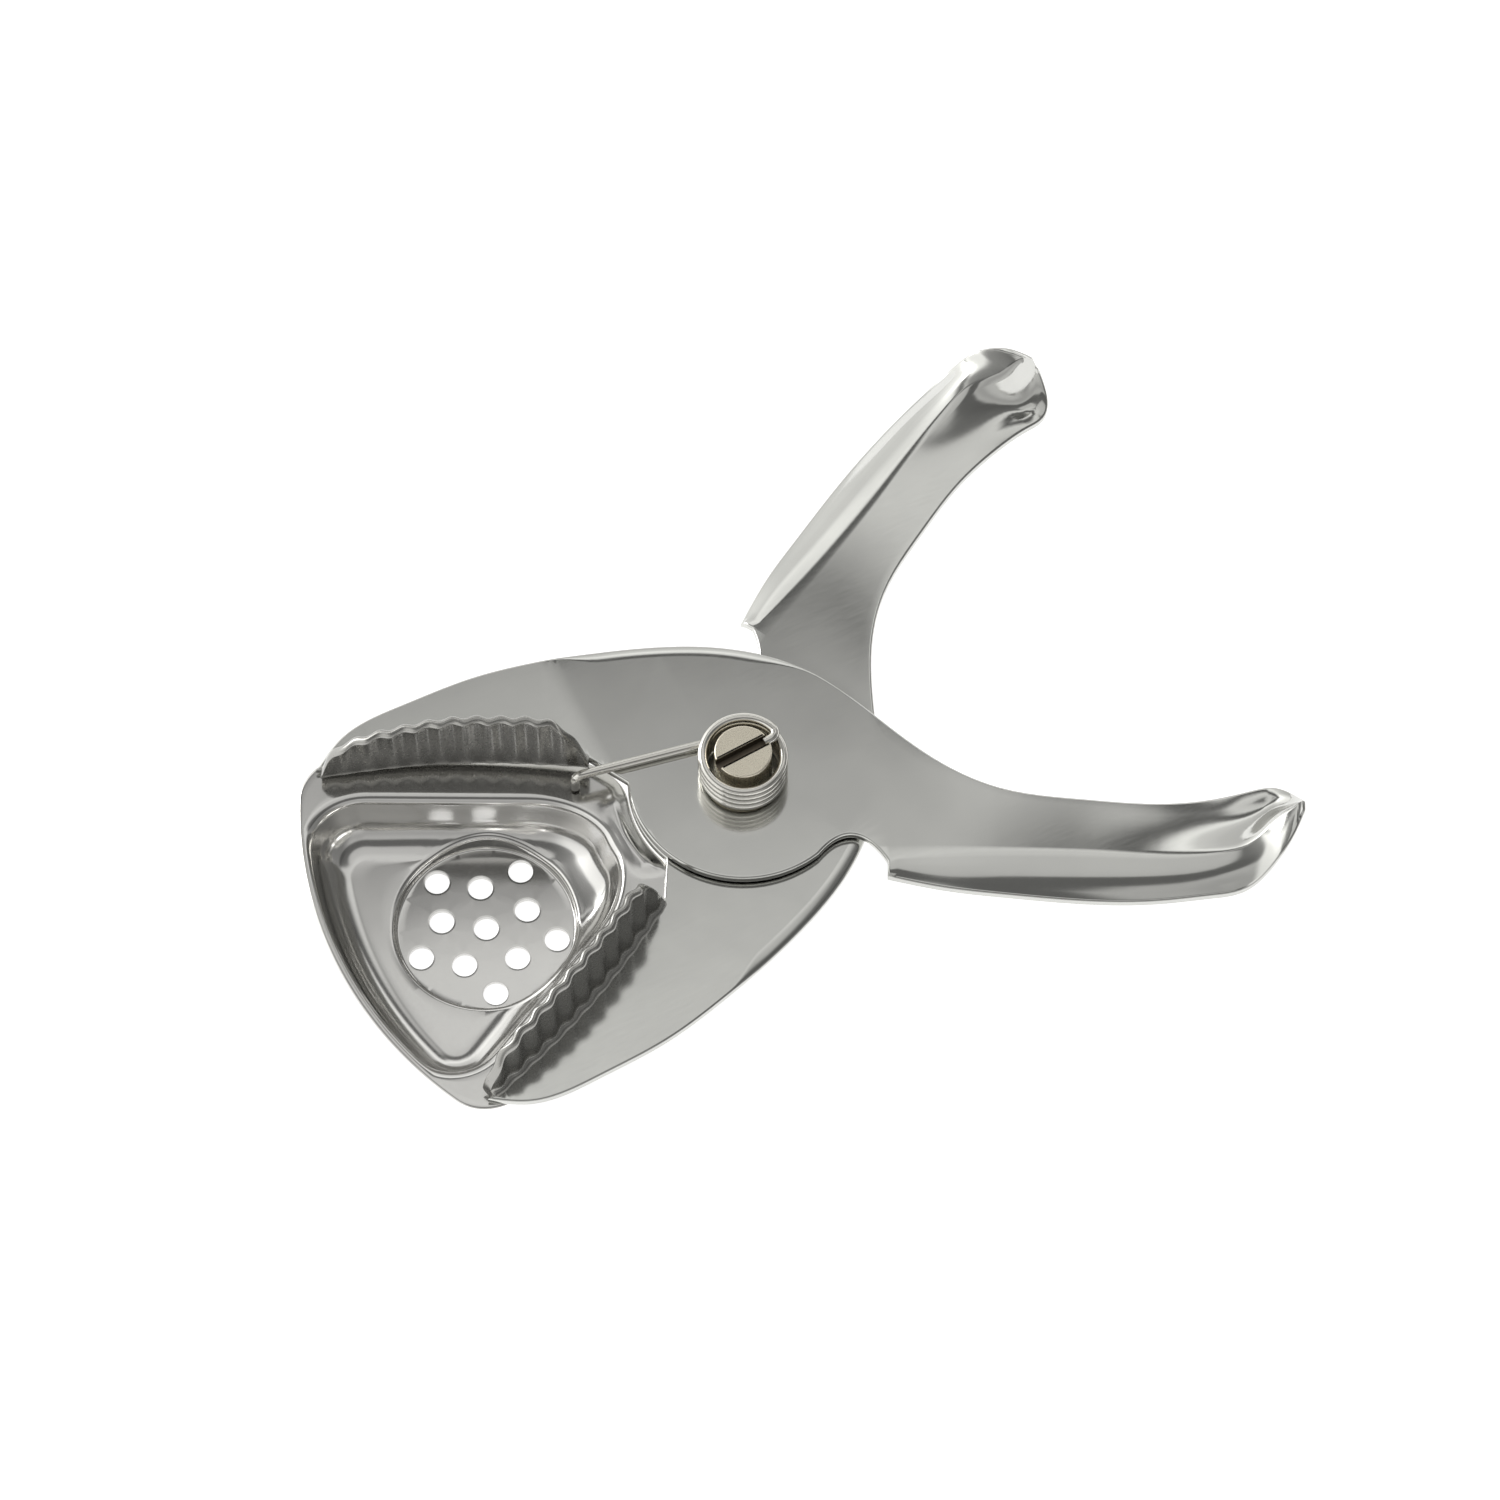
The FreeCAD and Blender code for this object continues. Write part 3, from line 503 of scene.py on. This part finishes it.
def fan_distance(x, y, inset, front, throat, corners):
    """How far a point is outside a fan with rounded corners, in mm; negative inside."""
    side = x * math.sin(HALF_OPENING) + abs(y) * math.cos(HALF_OPENING) + inset
    behind = throat - math.hypot(x, y)
    if behind < 0:
        behind /= THROAT_SLOPE
    before = math.hypot(x - RIM_CENTRE, y) - front
    across, corner = max((before, corners[0]), (behind, corners[1]))
    if side > -corner and across > -corner:
        return math.hypot(side + corner, across + corner) - corner
    return max(side, across)


def pan_distance(x, y):
    return fan_distance(x, y, PAN_INSET, PAN_FRONT, PAN_THROAT, PAN_CORNERS)


def fan_radius(angle, *fan):
    """The fan's reach from the recess centre in one direction."""
    low, high = 0.0, 60.0
    for _ in range(26):
        middle = (low + high) / 2
        x = -RECESS_REACH + middle * math.cos(angle)
        outside = fan_distance(x, middle * math.sin(angle), *fan) > 0
        low, high = (low, middle) if outside else (middle, high)
    return low


def draw_tray():
    around = 288
    roll, fillet, draft = 1.8, 5.4, math.radians(12)
    top = LOWER_UNDER
    floor = TRAY_GAUGE + RECESS_DEPTH
    wall_top = top - roll * (1 - math.sin(draft))
    wall_foot = floor + fillet * (1 - math.sin(draft))
    lean = (wall_top - wall_foot) * math.tan(draft)
    flat = lean + fillet * math.cos(draft)
    angles = [2 * math.pi * i / around for i in range(around)]

    def fans(grow):
        """The pan's outline made larger all round, as one reach for each angle."""
        behind = PAN_THROAT - grow * (1 if grow > 0 else THROAT_SLOPE)
        corners = [corner + grow for corner in PAN_CORNERS]
        return [fan_radius(a, PAN_INSET - grow, PAN_FRONT + grow, behind, corners)
                for a in angles]

    flange = [fan_radius(a, FLANGE_INSET, FLANGE_FRONT, HUB_RADIUS, FLANGE_CORNERS)
              for a in angles]
    lip = fans(roll)
    rings = [[(r, top - 0.32) for r in flange], [(r - 0.1, top - 0.12) for r in flange],
             [(r - 0.35, top - 0.02) for r in flange]]
    lip = [min(lip[i], flange[i] - 0.8) for i in range(around)]
    for t in spread(0, 1, 5)[:-1]:
        rings.append([(flange[i] - 0.6 + (lip[i] - flange[i] + 0.6) * t, top)
                      for i in range(around)])
    opening = fans(0)
    for t in spread(0, math.pi / 2 - draft, 8):
        rings.append([(lip[i] + (opening[i] - lip[i]) * math.sin(t) / math.cos(draft),
                       top - roll * (1 - math.cos(t))) for i in range(around)])
    edge = RECESS_RADIUS + 1.0
    insets = [lean / 2, lean] + [flat - fillet * math.cos(t)
                                 for t in spread(draft, math.pi / 2, 8)[1:]]
    for k, inset in enumerate(insets):
        ring = [max(r, edge + 0.09 * (len(insets) + 3 - k)) for r in fans(-inset)]
        rings.append([(r, None) for r in ring])
    for t in spread(0, 1, 3)[1:]:
        rings.append([(r + (edge - r) * t, None) for r in ring])

    def drawn_height(i, r):
        x = -RECESS_REACH + r * math.cos(angles[i])
        inside = max(-pan_distance(x, r * math.sin(angles[i])), 0)
        if inside < lean:
            return wall_top - (wall_top - wall_foot) * inside / lean
        return floor + fillet - math.sqrt(fillet ** 2 - max(flat - inside, 0) ** 2)

    rings = [[(r, drawn_height(i, r) if z is None else z) for i, (r, z) in enumerate(ring)]
             for ring in rings]
    brink = rings[-1]
    for t in spread(0, math.pi / 2, 5)[1:]:
        rings.append([(edge - math.sin(t), z - (1 - math.cos(t))) for _, z in brink])
    for t in spread(0, math.pi / 2, 5):
        rings.append([(RECESS_RADIUS - RECESS_FILLET * (1 - math.cos(t)),
                       RECESS_FLOOR + RECESS_FILLET * (1 - math.sin(t))) for _ in angles])

    def tray_point(u, v):
        r, z = rings[v][u % around]
        x = -RECESS_REACH + r * math.cos(angles[u % around])
        y = r * math.sin(angles[u % around])
        if z == top:
            reach = math.hypot(x, y)
            bead = BEAD_HEIGHT * math.exp(-((reach - BEAD_REACH) / BEAD_WIDTH) ** 2)
            z += bead * smooth_step((BEAD_HALF_LENGTH - abs(y)) / 2)
        elif z < floor + 2:
            dome = PAN_DOME * (1 - (r / PAN_DOME_REACH) ** 2)
            z += dome * smooth_step((floor + 2 - z) / 2)
        return Vector((x, y, z))

    bm = bmesh.new()
    shaped_grid(bm, around, len(rings) - 1, tray_point)
    centre = Vector((-RECESS_REACH, 0, RECESS_FLOOR))
    spots = [centre]
    for step in range(5):
        for ring, phase in HOLE_RINGS:
            turn = 2 * math.pi * (step + phase) / 5
            spots.append(centre + Vector((math.cos(turn), math.sin(turn), 0)) * ring)
    holes = [circle(spot, HOLE_RADIUS + HOLE_RIM, HOLE_STEPS) for spot in spots]
    for spot in spots:
        shaped_grid(bm, HOLE_STEPS, 1, lambda u, v: circle(
            spot, HOLE_RADIUS + HOLE_RIM * v, HOLE_STEPS)[u % HOLE_STEPS])
    rim = [tray_point(u, len(rings) - 1) for u in range(around)]
    for hole in holes:
        for point in hole:
            point.z = rim[0].z
    floor_edges = set(bm.edges)
    fill(bm, [rim] + holes)
    pressed = [e for e in bm.edges if e not in floor_edges]
    bmesh.ops.subdivide_edges(bm, edges=[e for e in pressed if not e.is_boundary], cuts=3)
    reach = RECESS_RADIUS - RECESS_FILLET
    for vert in bm.verts:
        out = (vert.co - centre).xy.length
        if out < reach - 0.01:
            vert.co.z = rim[0].z + RECESS_DOME * (1 - (out / reach) ** 2)
    bmesh.ops.remove_doubles(bm, verts=bm.verts, dist=0.0005)
    return bm


tray = finish_mesh(draw_tray(), "strainer_tray_pan", tray_steel)
up_faces = sum(p.normal.z * p.area for p in tray.data.polygons)
if up_faces < 0:
    tray.data.flip_normals()
sheet = tray.modifiers.new("sheet", "SOLIDIFY")
sheet.thickness = TRAY_GAUGE * MM
sheet.offset = -1
edges = tray.modifiers.new("edges", "BEVEL")
edges.width = 0.22 * MM
edges.segments = 3
edges.limit_method = "ANGLE"
edges.angle_limit = math.radians(50)
weigh_normals(tray)
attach(tray, "lower_half")
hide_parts("strainer_tray")

# --- tray welds ---------------------------------------------------------------------------------
# Four spot welds of 3 mm in the flange under the lower jaw. They fill the flange's thickness and
# leave low round marks on its underside, ground flush and polished with the tray.

WELD_RADIUS = 1.5
WELD_DEPTH = 0.78
WELD_CENTRE = LOWER_UNDER - 0.45
weld_bm = bmesh.new()
for share in (0.42, 0.56, 0.70, 0.84):
    spot = Vector((-share * JAW_REACH, -2.4, WELD_CENTRE))
    nugget = bmesh.ops.create_cone(weld_bm, cap_ends=True, segments=48, radius1=WELD_RADIUS,
                                   radius2=WELD_RADIUS, depth=WELD_DEPTH)["verts"]
    low_rim = [e for e in weld_bm.edges if all(v in nugget and v.co.z < 0 for v in e.verts)]
    bmesh.ops.bevel(weld_bm, geom=low_rim, offset=0.04, segments=3, profile=0.5,
                    affect="EDGES", material=-1)
    moved = [v for v in weld_bm.verts if v.co.length < 2]
    bmesh.ops.translate(weld_bm, verts=moved, vec=spot)
    bmesh.ops.rotate(weld_bm, verts=moved, cent=(0, 0, 0),
                     matrix=Matrix.Rotation(HALF_OPENING, 3, "Z"))
welds = finish_mesh(weld_bm, "spot_weld_marks", tray_steel)
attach(welds, "lower_half")
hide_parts("tray_welds")

# --- hinge: screw, bush, washers and nut --------------------------------------------------------
# Turned stainless parts. The slotted cheese head clamps the stepped bush to the lower lever, and
# the upper lever turns on the bush between two thin washers.

fastener_steel = steel("turned_stainless", ("#dcd4c2", "#ece5d4"), (0.22, 0.34), 0.2, 0.001, 0.01)
for name in ("pivot_bush", "pivot_washer", "nut_washer", "pivot_nut"):
    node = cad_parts[name]
    node.data.materials.clear()
    node.data.materials.append(fastener_steel)

HEAD_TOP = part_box("pivot_screw")[1].z / MM
SCREW_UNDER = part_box("pivot_screw")[0].z / MM
HEAD_RADIUS = 4.6
HEAD_HEIGHT = 3.6
SCREW_RADIUS = 2.5
SLOT_DEPTH = 1.6
SLOT_HALF = 0.8
SLOT_ANGLE = math.radians(3.5)


def turn_profile(bm, profile, steps=96):
    """A closed solid turned about the hinge axis from (radius, height) points."""
    verts = [bm.verts.new((r, 0, z)) for r, z in profile]
    edges = [bm.edges.new(pair) for pair in zip(verts, verts[1:])]
    bmesh.ops.spin(bm, geom=verts + edges, cent=(0, 0, 0), axis=UP, angle=2 * math.pi,
                   steps=steps, use_merge=True)
    bmesh.ops.remove_doubles(bm, verts=bm.verts, dist=0.0005)


def cut_screw():
    slot_floor = HEAD_TOP - SLOT_DEPTH
    under = HEAD_TOP - HEAD_HEIGHT
    bm = bmesh.new()
    turn_profile(bm, [(0, slot_floor), (HEAD_RADIUS, slot_floor), (HEAD_RADIUS, under),
                      (SCREW_RADIUS, under), (SCREW_RADIUS, SCREW_UNDER + 0.4),
                      (SCREW_RADIUS - 0.4, SCREW_UNDER), (0, SCREW_UNDER)])
    for side in (1, -1):
        half = bmesh.new()
        bmesh.ops.create_circle(half, cap_ends=True, segments=96, radius=HEAD_RADIUS)
        bmesh.ops.bisect_plane(half, geom=half.verts[:] + half.edges[:] + half.faces[:],
                               plane_co=(0, SLOT_HALF * side, 0), plane_no=(0, -side, 0),
                               clear_outer=True)
        raised = bmesh.ops.extrude_face_region(half, geom=half.faces[:])["geom"]
        top_verts = [g for g in raised if isinstance(g, bmesh.types.BMVert)]
        bmesh.ops.translate(half, verts=top_verts, vec=UP * SLOT_DEPTH)
        rim = [e for e in half.edges if all(v.co.z > 1 for v in e.verts)]
        bmesh.ops.bevel(half, geom=rim, offset=0.3, segments=4, profile=0.5, affect="EDGES",
                        material=-1)
        bmesh.ops.translate(half, verts=half.verts, vec=UP * slot_floor)
        joined = bpy.data.meshes.new("half_head")
        half.to_mesh(joined)
        half.free()
        bm.from_mesh(joined)
        bpy.data.meshes.remove(joined)
    for face in bm.faces:
        spot = face.calc_center_median()
        slot_wall = abs(spot.y) < SLOT_HALF + 0.01 and abs(face.normal.y) > 0.99
        in_slot = slot_wall and spot.z > slot_floor
        if in_slot or abs(spot.z - slot_floor) < 0.001:
            face.material_index = 1
    bmesh.ops.rotate(bm, verts=bm.verts, cent=(0, 0, 0),
                     matrix=Matrix.Rotation(SLOT_ANGLE, 3, "Z"))
    return bm


# The milled slot is left dull, and its walls and floor are coloured darker than the head.
milled_steel = steel("milled_slot_stainless", ("#6a6257", "#7a7266"), (0.40, 0.50), 0.2, 0.002,
                     0.01)
screw = finish_mesh(cut_screw(), "pivot_screw_slotted", fastener_steel)
screw.data.materials.append(milled_steel)
weigh_normals(screw)
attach(screw, "lower_half")
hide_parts("pivot_screw")

# --- upper lever --------------------------------------------------------------------------------
# The mirror twin of the lower stamping. Its jaw is bent down a little from a crease beside the
# hub, so that its tip slides just over the tray's flange.

UPPER_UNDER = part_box("pivot_washer")[1].z / MM + 0.05
UPPER_BORE = 4.05
JAW_FALL = 1.9
upper = make_lever("upper_lever_stamping", 1, UPPER_UNDER, JAW_FALL, UPPER_BORE)
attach(upper, "upper_half")
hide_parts("upper_lever")

# --- return spring ------------------------------------------------------------------------------
# A torsion spring of 1.5 mm drawn stainless wire. Its top turn bends into the screw's slot, and
# the bottom turn runs off straight to bear on the throat end of the upper wall, and hooks down.

spring_steel = steel("drawn_stainless_wire", ("#d2d0ca", "#dedcd6"), (0.14, 0.24), 0.12, 0.001,
                     0.0)
WIRE = 0.75
COIL = 6.45
TURNS = 4
COIL_LOW = UPPER_UNDER + GAUGE + 0.15 + WIRE
TANG_HEIGHT = HEAD_TOP - WIRE


def wind_spring():
    passing = Vector((-THROAT_REACH, 0.9 - 0.45 - WIRE - 0.15, 0))
    passing.rotate(Matrix.Rotation(-HALF_OPENING, 3, "Z"))
    leave = math.atan2(passing.y, passing.x) - math.acos(COIL / passing.length)
    start = Vector((COIL * math.cos(leave), COIL * math.sin(leave), 0))
    toward = (passing - start).normalized()
    hook_radius = 1.5
    hook = passing + toward * 2.3
    bm = bmesh.new()
    foot = Vector((hook.x, hook.y, LOWER_UNDER + 0.6))
    bmesh.ops.create_circle(bm, segments=20, radius=WIRE, matrix=Matrix.Translation(foot))
    ring = bm.edges[:]

    def push(edges, shift):
        made = bmesh.ops.extrude_edge_only(bm, edges=edges)["geom"]
        new_verts = [g for g in made if isinstance(g, bmesh.types.BMVert)]
        bmesh.ops.translate(bm, verts=new_verts, vec=shift)
        return [g for g in made if isinstance(g, bmesh.types.BMEdge) and g.is_boundary]

    def swing(edges, centre, axis, angle, steps, lift=0):
        verts = list({v for e in edges for v in e.verts})
        made = bmesh.ops.spin(bm, geom=verts + edges, cent=centre, axis=axis, angle=angle,
                              steps=steps, dvec=UP * (lift / steps))["geom_last"]
        return [g for g in made if isinstance(g, bmesh.types.BMEdge)]

    bend_low = COIL_LOW - hook_radius
    ring = push(ring, UP * (bend_low - foot.z))
    bend_centre = hook - toward * hook_radius + UP * bend_low
    ring = swing(ring, bend_centre, UP.cross(toward) * -1, math.pi / 2, 8)
    arm = (hook - toward * hook_radius) - start
    ring = push(ring, toward * -arm.length)
    inner = 1.2
    lead = math.asin(inner / (COIL - inner))
    turned = leave - SLOT_ANGLE - lead + 2 * math.pi * TURNS
    ring = swing(ring, (0, 0, 0), UP, -turned, 220, TANG_HEIGHT - COIL_LOW)
    heading = SLOT_ANGLE + lead
    centre = Vector((math.cos(heading), math.sin(heading), 0)) * (COIL - inner)
    ring = swing(ring, centre, UP, -(math.pi / 2 + lead), 12)
    inward = Vector((math.cos(SLOT_ANGLE), math.sin(SLOT_ANGLE), 0))
    tang = math.sqrt((COIL - inner) ** 2 - inner ** 2) - (COIL - 2.6)
    push(ring, inward * -tang)
    bmesh.ops.holes_fill(bm, edges=[e for e in bm.edges if e.is_boundary], sides=0)
    return bm


spring = finish_mesh(wind_spring(), "torsion_spring", spring_steel)
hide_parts("return_spring")
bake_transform(spring)

# --- floor, light and camera --------------------------------------------------------------------
# A plain white table in a room of bright and dark bands, with one soft window on the left.

floor_mesh = bpy.data.meshes.new("table")
bm = bmesh.new()
bmesh.ops.create_grid(bm, x_segments=1, y_segments=1, size=3)
bm.to_mesh(floor_mesh)
bm.free()
table = bpy.data.objects.new("table", floor_mesh)
bpy.context.scene.collection.objects.link(table)
paper = bpy.data.materials.new("white_paper")
paper.use_nodes = True
paper_shader = paper.node_tree.nodes["Principled BSDF"]
paper_shader.inputs["Base Color"].default_value = linear("#d8d8d8")
paper_shader.inputs["Roughness"].default_value = 0.9
paper_shader.inputs["Emission Color"].default_value = linear("#ffffff")
paper_shader.inputs["Emission Strength"].default_value = 0.8
floor_mesh.materials.append(paper)

AWAY = Vector((0.4468, 0.8946, 0))
RIGHT = Vector((0.8946, -0.4468, 0))
EYE_HEIGHT = math.radians(62.85)
EYE_DISTANCE = 0.979
aim = HINGE + UP * 0.01535 + RIGHT * 0.0011 + AWAY * 0.0043
eye = aim + (UP * math.sin(EYE_HEIGHT) - AWAY * math.cos(EYE_HEIGHT)) * EYE_DISTANCE


def look_at(target, place):
    """The turn that points an object's -Z from its place to the target."""
    return (target - place).to_track_quat("-Z", "Y").to_euler()


camera_data = bpy.data.cameras.new("camera")
camera_data.lens = 147.1
camera_data.sensor_width = 36
camera_data.clip_start = 0.05
camera = bpy.data.objects.new("camera", camera_data)
camera.location = eye
camera.rotation_euler = look_at(aim, eye)
bpy.context.scene.collection.objects.link(camera)
bpy.context.scene.camera = camera

# The room: its brightness by the angle from the far horizon over the zenith to the near horizon.
ROOM_BANDS = ((0.0, 0.7), (0.10, 0.75), (0.2, 0.9), (0.24, 1.35), (0.272, 1.15), (0.300, 0.10),
              (0.335, 0.12), (0.351, 0.60), (0.370, 1.0), (0.40, 0.88), (0.5, 0.72), (0.65, 0.66),
              (0.78, 0.62), (0.88, 0.5), (1.0, 0.7))
world = bpy.data.worlds.new("room")
world.use_nodes = True
background = world.node_tree.nodes["Background"]
way = add(world, "ShaderNodeTexCoord")
turned = add(world, "ShaderNodeMapping", [("Vector", way, "Generated")])
turned.inputs["Rotation"].default_value = (0, 0, -math.atan2(AWAY.y, AWAY.x))
parts = add(world, "ShaderNodeSeparateXYZ", [("Vector", turned, "Vector")])
angle = add(world, "ShaderNodeMath", [(0, parts, "Z"), (1, parts, "X")], operation="ARCTAN2")
share = add(world, "ShaderNodeMath", [(0, angle, "Value")], operation="DIVIDE")
share.inputs[1].default_value = math.pi
bands = add(world, "ShaderNodeValToRGB", [("Fac", share, "Value")])
bands.color_ramp.interpolation = "EASE"
ramp = bands.color_ramp.elements
while len(ramp) < len(ROOM_BANDS):
    ramp.new(0.5)
for stop, (place, _) in zip(ramp, ROOM_BANDS):
    stop.position = place
for stop, (_, bright) in zip(ramp, ROOM_BANDS):
    stop.color = (bright, bright, bright * 0.985, 1)


def toward(axis, start, end, low, high):
    """A value that runs from low to high while a direction's part along one axis runs on."""
    node = add(world, "ShaderNodeMapRange", [("Value", parts, axis)],
               interpolation_type="SMOOTHSTEP")
    for key, value in (("From Min", start), ("From Max", end), ("To Min", low), ("To Max", high)):
        node.inputs[key].default_value = value
    return node


def combine(operation, first, *others):
    """Several values added up or multiplied."""
    for other in others:
        outputs = ["Value" if "Value" in node.outputs else "Result" for node in (first, other)]
        first = add(world, "ShaderNodeMath", [(0, first, outputs[0]), (1, other, outputs[1])],
                    operation=operation)
    return first


# The bands lie a little lower on the right-hand side and a little higher on the left.
share = combine("ADD", share, toward("Y", -0.03, -0.15, 0, 0.045),
                toward("Y", 0.06, 0.16, 0, -0.01))
world.node_tree.links.new(share.outputs["Value"], bands.inputs["Fac"])
# A bright left side, a dim right side, and a dark belt behind the camera 45 to 68 degrees up.
belt = combine("MULTIPLY", toward("Z", 0.66, 0.74, 0, 1), toward("Z", 0.95, 0.92, 0, 1),
               toward("X", 0.38, 0.28, 0, 1))
dim = add(world, "ShaderNodeMapRange", [("Value", belt, "Value")])
dim.inputs["To Min"].default_value = 1.0
dim.inputs["To Max"].default_value = 0.25
level = combine("MULTIPLY", dim, toward("Y", 0.3, 0.7, 1, 1.9), toward("Y", -0.45, -0.75, 1, 0.4))
world.node_tree.links.new(bands.outputs["Color"], background.inputs["Color"])
world.node_tree.links.new(level.outputs["Value"], background.inputs["Strength"])
bpy.context.scene.world = world
bpy.context.scene.view_settings.view_transform = "Standard"


def softbox(name, right, away, height, size, power):
    lamp = bpy.data.lights.new(name, "AREA")
    lamp.shape = "RECTANGLE"
    lamp.size, lamp.size_y = size
    lamp.energy = power
    box = bpy.data.objects.new(name, lamp)
    place = RIGHT * right + AWAY * away + UP * height
    box.location = place
    box.rotation_euler = look_at(Vector((0, 0, 0)), place)
    bpy.context.scene.collection.objects.link(box)


softbox("left_window", -1.0, 0.5, 0.55, (0.5, 0.5), 4)
